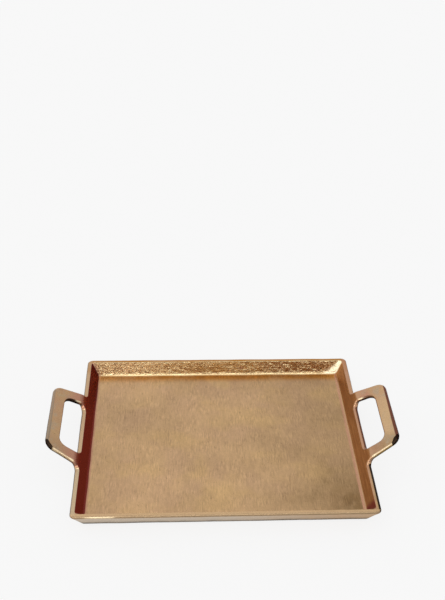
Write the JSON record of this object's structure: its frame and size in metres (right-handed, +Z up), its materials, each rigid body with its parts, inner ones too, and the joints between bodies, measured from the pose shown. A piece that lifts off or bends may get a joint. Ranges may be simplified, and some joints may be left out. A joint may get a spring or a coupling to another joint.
{
  "type": "serving tray",
  "caption": "Shallow oblong serving tray in cast brass, with sloping walls, a flat rim, a recessed underside on felt pads, and an upswept loop handle at each end.",
  "frame": {"origin": "centre of the footprint on the table, at the underside of the pads", "axes": "+X from handle to handle, towards the right-hand handle; +Y from the front wall to the back wall; +Z up, out of the well"},
  "size_m": [0.4786, 0.3114, 0.0616],
  "materials": {
    "cast_brass": "antique satin, cast and hand rubbed",
    "felt": "pressed wool felt"
  },
  "bodies": {
    "root": {"tray_body": "cast_brass", "left_handle": "cast_brass", "right_handle": "cast_brass", "foot_pad_front_left": "felt", "foot_pad_front_right": "felt", "foot_pad_back_left": "felt", "foot_pad_back_right": "felt"}
  },
  "joints": []
}
